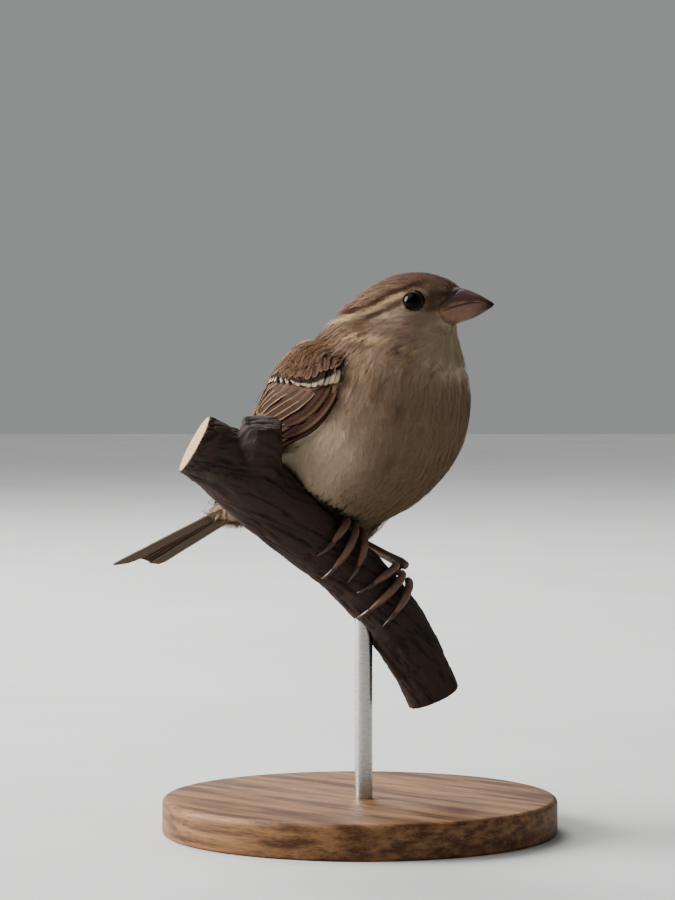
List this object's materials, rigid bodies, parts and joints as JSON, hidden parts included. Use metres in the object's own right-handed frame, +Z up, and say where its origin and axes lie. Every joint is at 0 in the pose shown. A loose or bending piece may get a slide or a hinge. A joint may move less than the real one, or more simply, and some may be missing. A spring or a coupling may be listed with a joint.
{
  "type": "bird figure",
  "caption": "Life-size female house sparrow at rest on a cut length of branch, held by a rod on a round display base.",
  "frame": {"origin": "Middle of the underside of the round stand base.", "axes": "+X is the way the bird's trunk faces, +Y is the bird's left, +Z is up. The head looks about 20 degrees to the bird's left."},
  "size_m": [0.1196, 0.09, 0.127],
  "materials": {
    "plumage_under": "soft matt feathers, brownish buff to cream",
    "plumage_upper": "soft matt feathers, brown with dark centres and buff edges",
    "plumage_head": "soft matt feathers, grey-brown with a buff stripe behind the eye",
    "flight_feathers": "smooth matt feathers, dark brown with paler edges",
    "bill_horn": "smooth horn with a low shine, pinkish grey with a dusky tip",
    "eye": "wet and glossy, dark brown",
    "leg_scale": "scaly skin, pinkish brown",
    "claw": "dark horn with a low shine",
    "bark": "rough grey-brown bark",
    "stand_wood": "satin dark wood",
    "stand_steel": "brushed"
  },
  "bodies": {
    "root": {"bill_lower": "bill_horn", "bill_upper": "bill_horn", "claw_left_hind": "claw", "claw_left_inner": "claw", "claw_left_middle": "claw", "claw_left_outer": "claw", "claw_right_hind": "claw", "claw_right_inner": "claw", "claw_right_middle": "claw", "claw_right_outer": "claw", "eye_left": "eye", "eye_right": "eye", "head": "plumage_head", "neck": "plumage_under", "perch": "bark", "rump": "plumage_upper", "stand_base": "stand_wood", "stand_rod": "stand_steel", "tail_left": "flight_feathers", "tail_middle": "flight_feathers", "tail_right": "flight_feathers", "tarsus_left": "leg_scale", "tarsus_right": "leg_scale", "thigh_left": "plumage_under", "toe_left_hind": "leg_scale", "toe_left_inner": "leg_scale", "toe_left_middle": "leg_scale", "toe_left_outer": "leg_scale", "toe_right_hind": "leg_scale", "toe_right_inner": "leg_scale", "toe_right_middle": "leg_scale", "toe_right_outer": "leg_scale", "trunk": "plumage_under", "wing_left_coverts": "plumage_upper", "wing_left_primaries": "flight_feathers", "wing_left_secondaries": "flight_feathers", "wing_right_coverts": "plumage_upper", "wing_right_primaries": "flight_feathers", "wing_right_secondaries": "flight_feathers"}
  },
  "joints": []
}
